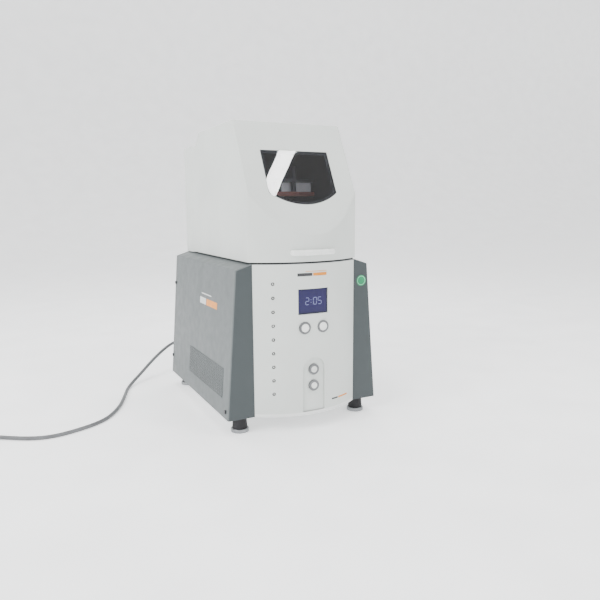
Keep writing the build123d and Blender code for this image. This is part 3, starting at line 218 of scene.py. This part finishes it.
def tone(material, source, low, high):
    """Colours the base between low and high as source goes from 0.35 to 0.65."""
    tree = material.node_tree
    ramp = tree.nodes.new("ShaderNodeValToRGB")
    ramp.color_ramp.elements[0].position = 0.35
    ramp.color_ramp.elements[0].color = (*low, 1.0)
    ramp.color_ramp.elements[1].position = 0.65
    ramp.color_ramp.elements[1].color = (*high, 1.0)
    tree.links.new(source, ramp.inputs["Fac"])
    tree.links.new(ramp.outputs["Color"], tree.nodes["Principled BSDF"].inputs["Base Color"])


def sheen_range(material, source, low, high):
    """Roughness between low and high as source goes from 0.3 to 0.7."""
    tree = material.node_tree
    spread = tree.nodes.new("ShaderNodeMapRange")
    spread.inputs["From Min"].default_value = 0.3
    spread.inputs["From Max"].default_value = 0.7
    spread.inputs["To Min"].default_value = low
    spread.inputs["To Max"].default_value = high
    tree.links.new(source, spread.inputs["Value"])
    tree.links.new(spread.outputs["Result"], tree.nodes["Principled BSDF"].inputs["Roughness"])


def relief(material, source, strength, height):
    """Raises the surface by source."""
    tree = material.node_tree
    bump = tree.nodes.new("ShaderNodeBump")
    bump.inputs["Strength"].default_value = strength
    bump.inputs["Distance"].default_value = height
    tree.links.new(source, bump.inputs["Height"])
    tree.links.new(bump.outputs["Normal"], tree.nodes["Principled BSDF"].inputs["Normal"])


def shaded(colour, share):
    """A colour made darker or lighter by a share."""
    return tuple(min(channel * share, 1.0) for channel in colour)


def painted(name, colour, low, high, pebble=900.0, depth=0.00012):
    """Powder paint: a fine orange peel, slightly uneven in gloss and tone."""
    material = finish(name, colour, (low + high) / 2)
    tone(material, grain(material, 7.0), shaded(colour, 0.96), shaded(colour, 1.03))
    sheen_range(material, grain(material, 45.0), low, high)
    relief(material, grain(material, pebble), 0.25, depth)
    return material


def machined(name, colour, low, high, stretch=(1.0, 1.0, 1.0), metallic=1.0):
    """Turned or ground metal, with fine marks across it."""
    material = finish(name, colour, (low + high) / 2, metallic)
    tone(material, grain(material, 30.0), shaded(colour, 0.9), shaded(colour, 1.08))
    sheen_range(material, grain(material, 220.0, 5.0, stretch), low, high)
    relief(material, grain(material, 380.0, 3.0, stretch), 0.15, 0.0001)
    return material


def moulded(name, colour, low, high, texture=700.0, depth=0.00015):
    """Moulded rubber or plastic, with a dull skin."""
    material = finish(name, colour, (low + high) / 2)
    tone(material, grain(material, 25.0), shaded(colour, 0.88), shaded(colour, 1.15))
    sheen_range(material, grain(material, 60.0), low, high)
    relief(material, grain(material, texture), 0.3, depth)
    return material


def arithmetic(tree, operation, first, second):
    """A Math node; each input is a number or another node's output."""
    node = tree.nodes.new("ShaderNodeMath")
    node.operation = operation
    for socket, source in zip(node.inputs, (first, second)):
        if isinstance(source, (int, float)):
            socket.default_value = source
        else:
            tree.links.new(source, socket)
    return node.outputs[0]


def place_axes(tree):
    """The X, Y and Z of a point on the object, one output each."""
    places = tree.nodes.new("ShaderNodeTexCoord")
    split = tree.nodes.new("ShaderNodeSeparateXYZ")
    tree.links.new(places.outputs["Object"], split.inputs["Vector"])
    return split.outputs


def paint(material, *names):
    """Gives CAD pieces their finish."""
    for name in names:
        for seat in nodes[name].material_slots:
            seat.material = material


SHELL = (0.60, 0.63, 0.605)
PANEL = (0.104, 0.118, 0.120)
# Painted shade for the panels' front faces, not a paint of their own
PANEL_FRONT_SHADE = (0.044, 0.054, 0.057)
shell_paint = painted("shell_paint", SHELL, 0.42, 0.55)
panel_paint = painted("panel_paint", PANEL, 0.38, 0.5)

# The panels' front faces get painted shade: a darker tone of the same paint stands in for the shade the lights
# leave on them
panel_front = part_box("right_side_panel")[0].y
tree = panel_paint.node_tree
clear_of_front_shade = tree.nodes.new("ShaderNodeMapRange")
clear_of_front_shade.inputs["From Min"].default_value = panel_front + 0.0004
clear_of_front_shade.inputs["From Max"].default_value = panel_front + 0.0009
tree.links.new(place_axes(tree)["Y"], clear_of_front_shade.inputs["Value"])
panel_front_shading = tree.nodes.new("ShaderNodeMix")
panel_front_shading.data_type = "RGBA"
panel_front_shading.inputs["A"].default_value = (*PANEL_FRONT_SHADE, 1.0)
shader = tree.nodes["Principled BSDF"]
tree.links.new(shader.inputs["Base Color"].links[0].from_socket, panel_front_shading.inputs["B"])
tree.links.new(clear_of_front_shade.outputs["Result"], panel_front_shading.inputs["Factor"])
tree.links.new(panel_front_shading.outputs["Result"], shader.inputs["Base Color"])

inner_steel = machined("inner_steel", (0.35, 0.36, 0.38), 0.4, 0.6)
bright_steel = machined("bright_steel", (0.62, 0.62, 0.63), 0.18, 0.34, (1.0, 8.0, 1.0))
cast_alloy = machined("cast_alloy", (0.5, 0.51, 0.53), 0.38, 0.56)
cast_iron = moulded("cast_iron", (0.09, 0.1, 0.11), 0.5, 0.7, 260.0, 0.0005)
bronze = machined("bronze", (0.55, 0.34, 0.14), 0.25, 0.4)
black_rubber = moulded("black_rubber", (0.018, 0.018, 0.02), 0.6, 0.8)
black_plastic = moulded("black_plastic", (0.02, 0.02, 0.023), 0.35, 0.5)
black_foam = moulded("black_foam", (0.024, 0.025, 0.031), 0.8, 0.95, 420.0, 0.0012)
chamber_black = painted("chamber_black", (0.028, 0.030, 0.038), 0.4, 0.6)
foot_steel = machined("foot_steel", (0.3, 0.31, 0.32), 0.3, 0.5, (6.0, 6.0, 1.0))
screw_black = machined("screw_black", (0.03, 0.03, 0.035), 0.25, 0.4, metallic=0.6)
bezel_metal = machined("bezel_metal", (0.16, 0.165, 0.17), 0.22, 0.38, (1.0, 6.0, 1.0))
key_white = moulded("key_white", (0.74, 0.75, 0.73), 0.25, 0.38, 500.0, 0.00006)
plate_white = moulded("plate_white", (0.82, 0.82, 0.85), 0.3, 0.42, 500.0, 0.00008)
clamp_brown = painted("clamp_brown", (0.30, 0.10, 0.08), 0.4, 0.55)
board_green = moulded("board_green", (0.01, 0.10, 0.035), 0.3, 0.5, 300.0, 0.0002)
motor_paint = painted("motor_paint", (0.08, 0.09, 0.1), 0.4, 0.55)
cord_grey = moulded("cord_grey", (0.12, 0.125, 0.13), 0.45, 0.6, 500.0, 0.0002)
pan_paint = painted("pan_paint", (0.72, 0.73, 0.72), 0.35, 0.5)
grip_paint = painted("grip_paint", (0.80, 0.82, 0.80), 0.22, 0.34)

floor_paper = painted("floor_paper", (0.90, 0.905, 0.91), 0.75, 0.85, 300.0)
floor_shader = floor_paper.node_tree.nodes["Principled BSDF"]
floor_shader.inputs["Emission Color"].default_value = (0.98, 0.99, 1.0, 1.0)
floor_shader.inputs["Emission Strength"].default_value = 0.55
floor.data.materials.append(floor_paper)

paint(shell_paint, "front_fascia", "rear_housing")
paint(grip_paint, "lid_handle")
paint(panel_paint, "left_side_panel", "right_side_panel", "rear_panel")
paint(pan_paint, "base_pan")
paint(inner_steel, "left_frame_plate", "right_frame_plate", "top_deck", "motor_bracket")
paint(chamber_black, "chamber_wall", "clamp_posts", "clamp_plate")
paint(bright_steel, "hinge_base_leaves", "hinge_pins", "crank_bearings", "hinge_lid_leaves", "guide_shafts",
      "wrist_pin", "crank_pin", "crankshaft", "motor_pulley")
paint(cast_alloy, "guide_block", "motor_drive", "crosshead", "con_rod", "crank_pulley")
paint(cast_iron, "bearing_block")
paint(bronze, "guide_bushings", "rod_bearings")
paint(black_rubber, "foot_bodies", "deck_gasket", "drive_belt")
paint(black_plastic, "lcd_module", "fan_frame", "power_inlet", "front_clamp_knob", "rear_clamp_knob",
      "fan_rotor", "power_rocker")
paint(black_foam, "lid_liners")
paint(foot_steel, "foot_pads")
paint(screw_black, "side_screws")
paint(bezel_metal, "button_bezels")
paint(key_white, "left_soft_key", "right_soft_key", "start_button", "stop_button")
paint(plate_white, "sample_plates")
paint(clamp_brown, "clamp_base")
paint(board_green, "control_board")
paint(motor_paint, "motor_body")
paint(cord_grey, "cord_connector", "mains_plug")
mains_cord.data.materials.append(cord_grey)

# Lid paint: light outside, black on the chamber side of the wall
CURVE_CENTRE = -0.036889
CURVE_RADIUS = 0.2106
SLOPE = radians(26.7)
lid_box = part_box("lid_shell")
LID_HALF = lid_box[1].x
LID_TOP = lid_box[1].z
LID_CORNER = (-0.200584, 0.5229)
PAINT_EDGE = 0.0022


lid_paint = painted("lid_paint", SHELL, 0.42, 0.55)
tree = lid_paint.node_tree
axes = place_axes(tree)
half_across = arithmetic(tree, "ABSOLUTE", axes["X"], 0.0)
from_side = arithmetic(tree, "SUBTRACT", LID_HALF, half_across)
from_top = arithmetic(tree, "SUBTRACT", LID_TOP, axes["Z"])
past_corner_y = arithmetic(tree, "SUBTRACT", axes["Y"], LID_CORNER[0])
past_corner_z = arithmetic(tree, "SUBTRACT", axes["Z"], LID_CORNER[1])
along_y = arithmetic(tree, "MULTIPLY", past_corner_y, cos(SLOPE))
along_z = arithmetic(tree, "MULTIPLY", past_corner_z, sin(SLOPE))
from_slope = arithmetic(tree, "SUBTRACT", along_y, along_z)
x_squared = arithmetic(tree, "POWER", half_across, 2.0)
off_centre = arithmetic(tree, "ABSOLUTE", arithmetic(tree, "SUBTRACT", axes["Y"], CURVE_CENTRE), 0.0)
y_squared = arithmetic(tree, "POWER", off_centre, 2.0)
from_axis = arithmetic(tree, "SQRT", arithmetic(tree, "ADD", x_squared, y_squared), 0.0)
behind_axis = arithmetic(tree, "GREATER_THAN", axes["Y"], CURVE_CENTRE)
from_curve = arithmetic(tree, "ADD", arithmetic(tree, "SUBTRACT", CURVE_RADIUS, from_axis), behind_axis)
from_box = arithmetic(tree, "MINIMUM", from_side, from_top)
from_front = arithmetic(tree, "MINIMUM", from_slope, from_curve)
nearest = arithmetic(tree, "MINIMUM", from_box, from_front)
inside = arithmetic(tree, "GREATER_THAN", nearest, PAINT_EDGE)
lid_tones = tree.nodes.new("ShaderNodeMix")
lid_tones.data_type = "RGBA"
lid_tones.inputs["B"].default_value = (0.024, 0.025, 0.031, 1.0)
shader = tree.nodes["Principled BSDF"]
tree.links.new(inside, lid_tones.inputs["Factor"])
tree.links.new(shader.inputs["Base Color"].links[0].from_socket, lid_tones.inputs["A"])
tree.links.new(lid_tones.outputs["Result"], shader.inputs["Base Color"])
paint(lid_paint, "lid_shell")

# Window pane: smoked clear plastic
pane_smoke = finish("pane_smoke", (0.86, 0.87, 0.90), 0.02)
pane_smoke.node_tree.nodes["Principled BSDF"].inputs["Transmission Weight"].default_value = 1.0
pane_smoke.node_tree.nodes["Principled BSDF"].inputs["IOR"].default_value = 1.35
tone(pane_smoke, grain(pane_smoke, 5.0), (0.84, 0.85, 0.88), (0.88, 0.89, 0.92))
sheen_range(pane_smoke, grain(pane_smoke, 12.0), 0.012, 0.035)
paint(pane_smoke, "window_pane")

# Display: a dark blue lit field with a darker border, behind a glossy lens
DISPLAY_LOW = 0.2607
DISPLAY_HIGH = 0.3162
DISPLAY_Z = (DISPLAY_LOW + DISPLAY_HIGH) / 2
FIELD_HALF_WIDTH = 0.0335
FIELD_HALF_HEIGHT = 0.0245
display_glow = finish("display_glow", (0.007, 0.005, 0.055), 0.16)
tree = display_glow.node_tree
axes = place_axes(tree)
out_x = arithmetic(tree, "DIVIDE", arithmetic(tree, "ABSOLUTE", axes["X"], 0.0), FIELD_HALF_WIDTH)
rise = arithmetic(tree, "SUBTRACT", axes["Z"], DISPLAY_Z)
out_z = arithmetic(tree, "DIVIDE", arithmetic(tree, "ABSOLUTE", rise, 0.0), FIELD_HALF_HEIGHT)
border = arithmetic(tree, "GREATER_THAN", arithmetic(tree, "MAXIMUM", out_x, out_z), 1.0)
field = tree.nodes.new("ShaderNodeMix")
field.data_type = "RGBA"
field.inputs["A"].default_value = (0.007, 0.005, 0.055, 1.0)
field.inputs["B"].default_value = (0.008, 0.008, 0.035, 1.0)
tree.links.new(border, field.inputs["Factor"])
tree.links.new(field.outputs["Result"], tree.nodes["Principled BSDF"].inputs["Base Color"])
tree.links.new(field.outputs["Result"], tree.nodes["Principled BSDF"].inputs["Emission Color"])
tree.nodes["Principled BSDF"].inputs["Emission Strength"].default_value = 0.25
paint(display_glow, "display_lens")


def front_y(x, proud=0.0):
    """The y of the curved front at x, or of a surface proud of it."""
    return CURVE_CENTRE - sqrt((CURVE_RADIUS + proud) ** 2 - x**2)


def settle(piece, name, body, material):
    """Names a finished piece, puts its place into its mesh and lets it ride."""
    clear_selection()
    piece.select_set(True)
    bpy.context.view_layer.objects.active = piece
    bpy.ops.object.transform_apply(location=True, rotation=True, scale=True)
    piece.name = name
    piece.data.name = name
    piece.data.materials.clear()
    piece.data.materials.append(material)
    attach(piece, body)


def keep_selected(piece, test):
    """Goes into edit mode with only the faces that pass the test selected."""
    bpy.ops.object.mode_set(mode="EDIT")
    bpy.ops.mesh.select_mode(type="FACE")
    bpy.ops.mesh.select_all(action="DESELECT")
    bpy.ops.object.mode_set(mode="OBJECT")
    for face in piece.data.polygons:
        face.select = test(face)
    bpy.ops.object.mode_set(mode="EDIT")


def apply_modifier(piece, kind, **settings):
    """Adds a modifier with its settings and applies it."""
    modifier = piece.modifiers.new(kind.lower(), kind)
    for key, value in settings.items():
        setattr(modifier, key, value)
    bpy.context.view_layer.objects.active = piece
    bpy.ops.object.modifier_apply(modifier=modifier.name)


# Perforated grilles over the side vents: rows of small holes, every second row shifted by half a pitch
HOLE_PITCH = 0.0043
VENT_FRONT = -0.1643
VENT_LENGTH = 0.2530
VENT_LOW = 0.0760
VENT_RISE = 0.0670
PANEL_BOTTOM = 0.036
PANEL_HALF = 0.1874
PANEL_LEAN = (0.1874 - 0.1626) / 0.324
GRILLE_SHEET = 0.0005
hole_columns = int(VENT_LENGTH / HOLE_PITCH)
hole_rows = int(VENT_RISE / (HOLE_PITCH * 0.86))
row_pitch = VENT_RISE / hole_rows
column_pitch = VENT_LENGTH / (hole_columns + 0.5)


def perforated_sheet():
    """The grille lying flat, its lower front corner at the origin."""
    clear_selection()
    bpy.ops.mesh.primitive_plane_add(size=1.0, location=(column_pitch / 2, row_pitch / 2, 0.0))
    sheet = bpy.context.object
    sheet.scale = (column_pitch, row_pitch, 1.0)
    bpy.ops.object.transform_apply(location=True, rotation=True, scale=True)
    bpy.ops.object.mode_set(mode="EDIT")
    bpy.ops.mesh.select_all(action="SELECT")
    bpy.ops.mesh.inset(thickness=0.00085)
    bpy.ops.mesh.bevel(offset=0.0007, affect="VERTICES")
    bpy.ops.mesh.delete(type="FACE")
    bpy.ops.object.mode_set(mode="OBJECT")
    apply_modifier(sheet, "ARRAY", count=hole_columns, use_relative_offset=False, use_constant_offset=True,
                   constant_offset_displace=(column_pitch, 0.0, 0.0))
    clear_selection()
    sheet.select_set(True)
    bpy.ops.object.duplicate()
    shifted = bpy.context.object
    shifted.location = (column_pitch / 2, row_pitch, 0.0)
    clear_selection()
    shifted.select_set(True)
    sheet.select_set(True)
    bpy.context.view_layer.objects.active = sheet
    bpy.ops.object.join()
    apply_modifier(sheet, "ARRAY", count=hole_rows // 2, use_relative_offset=False, use_constant_offset=True,
                   constant_offset_displace=(0.0, 2 * row_pitch, 0.0))
    bpy.ops.object.mode_set(mode="EDIT")
    bpy.ops.mesh.select_all(action="SELECT")
    bpy.ops.mesh.remove_doubles(threshold=0.00002)
    bpy.ops.object.mode_set(mode="OBJECT")
    apply_modifier(sheet, "SOLIDIFY", thickness=GRILLE_SHEET, offset=1.0)
    return sheet


for side, side_name in ((-1, "left"), (1, "right")):
    grille = perforated_sheet()
    out = Vector((side, 0.0, PANEL_LEAN)).normalized()
    up = Vector((-side * PANEL_LEAN, 0.0, 1.0)).normalized()
    along = up.cross(out)
    low_x = side * (PANEL_HALF - PANEL_LEAN * (VENT_LOW - PANEL_BOTTOM))
    start_y = VENT_FRONT if along.y > 0 else VENT_FRONT + VENT_LENGTH
    grille.rotation_euler = Matrix((along, up, out)).transposed().to_euler()
    grille.location = (low_x + side * 0.0001, start_y, VENT_LOW)
    settle(grille, side_name + "_vent_grille", "cabinet", panel_paint)

# Round marker on the right panel's front face
marker_green = moulded("marker_green", (0.012, 0.25, 0.10), 0.3, 0.42, 500.0, 0.00005)
marker_ring = moulded("marker_ring", (0.22, 0.60, 0.38), 0.3, 0.42, 500.0, 0.00005)


def disc(name, radius, thickness, place, material, hole=0.0):
    """A thin round piece facing forwards, its rim slightly rounded, with or without a hole."""
    clear_selection()
    bpy.ops.mesh.primitive_cylinder_add(vertices=48, radius=radius, depth=thickness, location=place,
                                        rotation=(pi / 2, 0.0, 0.0))
    piece = bpy.context.object
    keep_selected(piece, lambda face: abs(face.normal.z) > 0.9)
    if hole:
        bpy.ops.mesh.inset(thickness=radius - hole)
        bpy.ops.mesh.bridge_edge_loops()
    else:
        bpy.ops.mesh.inset(thickness=thickness)
    bpy.ops.object.mode_set(mode="OBJECT")
    apply_modifier(piece, "BEVEL", width=thickness / 4, segments=2, limit_method="ANGLE")
    settle(piece, name, "cabinet", material)


MARKER_X = 0.146
MARKER_Z = 0.3205
disc("marker_disc", 0.0125, 0.0004, (MARKER_X, panel_front - 0.0002, MARKER_Z), marker_green)
disc("marker_rim", 0.0108, 0.0003, (MARKER_X, panel_front - 0.00055, MARKER_Z), marker_ring, hole=0.0094)

# Recessed screw heads in the column of holes of the front, each with a painted highlight
SCREW_X = -0.088
SCREW_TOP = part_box("front_fascia")[1].z - 0.041
SCREW_PITCH = 0.0301
screw_front = front_y(SCREW_X)
recess_steel = machined("recess_steel", (0.09, 0.092, 0.095), 0.3, 0.45, metallic=0.4)
for number in range(9):
    height = SCREW_TOP - number * SCREW_PITCH
    disc("front_screw_%d" % (number + 1), 0.0036, 0.0012, (SCREW_X, screw_front + 0.0030, height), recess_steel)
    # A small pale disc set just right of each head's centre: a painted highlight in the hole, not a part
    disc("front_screw_socket_%d" % (number + 1), 0.0015, 0.0008,
         (SCREW_X + 0.0004, screw_front + 0.0020, height), key_white)

# Plain two-tone strips on the front and on the left side
strip_dark = moulded("strip_dark", (0.04, 0.041, 0.043), 0.4, 0.5, 600.0, 0.00004)
strip_orange = moulded("strip_orange", (0.68, 0.24, 0.025), 0.4, 0.5, 600.0, 0.00004)
strip_pale = moulded("strip_pale", (0.62, 0.63, 0.62), 0.4, 0.5, 600.0, 0.00004)
STRIP_SHEET = 0.0002


def front_strip(name, left, right, low, high, material):
    """A thin strip that follows the curved front."""
    clear_selection()
    bpy.ops.mesh.primitive_grid_add(x_subdivisions=12, y_subdivisions=1, size=1.0)
    piece = bpy.context.object
    for vertex in piece.data.vertices:
        x = left + (vertex.co.x + 0.5) * (right - left)
        z = low + (vertex.co.y + 0.5) * (high - low)
        vertex.co = (x, front_y(x, 0.00005), z)
    apply_modifier(piece, "SOLIDIFY", thickness=STRIP_SHEET, offset=1.0)
    settle(piece, name, "cabinet", material)


def side_strip(name, front, back, low, high, material):
    """A thin strip on the left panel's leaning face."""
    clear_selection()
    bpy.ops.mesh.primitive_grid_add(x_subdivisions=4, y_subdivisions=2, size=1.0)
    piece = bpy.context.object
    for vertex in piece.data.vertices:
        y = back + (vertex.co.x + 0.5) * (front - back)
        z = low + (vertex.co.y + 0.5) * (high - low)
        vertex.co = (-(PANEL_HALF - PANEL_LEAN * (z - PANEL_BOTTOM)) - 0.00005, y, z)
    apply_modifier(piece, "SOLIDIFY", thickness=STRIP_SHEET, offset=1.0)
    settle(piece, name, "cabinet", material)


front_strip("front_strip_dark", -0.038, -0.004, 0.3440, 0.3505, strip_dark)
front_strip("front_strip_orange", -0.002, 0.032, 0.3440, 0.3505, strip_orange)
front_strip("front_strip_line", -0.020, 0.032, 0.3535, 0.3545, strip_orange)
front_strip("low_strip_dark", 0.048, 0.066, 0.0595, 0.0630, strip_dark)
front_strip("low_strip_orange", 0.068, 0.098, 0.0595, 0.0630, strip_orange)
side_strip("side_strip_pale", -0.022, 0.022, 0.262, 0.277, strip_pale)
side_strip("side_strip_orange", -0.102, -0.026, 0.262, 0.277, strip_orange)
side_strip("side_strip_line", -0.060, 0.012, 0.2855, 0.2880, strip_pale)

# Readout on the display: three pale digits and a colon
readout_glow = finish("readout_glow", (0.16, 0.17, 0.36), 0.4)
readout_shader = readout_glow.node_tree.nodes["Principled BSDF"]
readout_shader.inputs["Emission Color"].default_value = (0.5, 0.58, 0.95, 1.0)
readout_shader.inputs["Emission Strength"].default_value = 0.12
tone(readout_glow, grain(readout_glow, 90.0), (0.15, 0.16, 0.34), (0.18, 0.20, 0.40))
lens_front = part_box("display_lens")[0].y
DIGIT_WIDTH = 0.0078
DIGIT_HEIGHT = 0.0150
DIGIT_FOOT = DISPLAY_Z - DIGIT_HEIGHT / 2
STROKE = 0.0013
COLON_X = -0.0035
COLON_DOT = 0.0016
SEGMENTS = {
    "a": (0.5, 1.0, True), "b": (1.0, 0.75, False), "c": (1.0, 0.25, False), "d": (0.5, 0.0, True),
    "e": (0.0, 0.25, False), "f": (0.0, 0.75, False), "g": (0.5, 0.5, True),
}
READOUT = ((-0.0165, "abged"), (0.0022, "abcdef"), (0.0138, "afgcd"))


def glow_bar(x, z, width, height):
    """One lit stroke on the display, its ends cut off at an angle."""
    clear_selection()
    bpy.ops.mesh.primitive_cube_add(size=1.0, location=(x, lens_front - 0.00015, z))
    bar = bpy.context.object
    bar.scale = (width, 0.0002, height)
    bpy.ops.object.transform_apply(location=True, rotation=True, scale=True)
    apply_modifier(bar, "BEVEL", width=0.00009, segments=1)
    return bar


strokes = []
for left, lit in READOUT:
    for key in lit:
        across, rise, level = SEGMENTS[key]
        width = DIGIT_WIDTH - STROKE if level else STROKE
        height = STROKE if level else DIGIT_HEIGHT / 2 - STROKE
        strokes.append(glow_bar(left + across * DIGIT_WIDTH, DIGIT_FOOT + rise * DIGIT_HEIGHT, width, height))
for rise in (0.3, 0.7):
    strokes.append(glow_bar(COLON_X, DIGIT_FOOT + rise * DIGIT_HEIGHT, COLON_DOT, COLON_DOT))
clear_selection()
for bar in strokes:
    bar.select_set(True)
bpy.context.view_layer.objects.active = strokes[0]
bpy.ops.object.join()
settle(strokes[0], "display_readout", "cabinet", readout_glow)
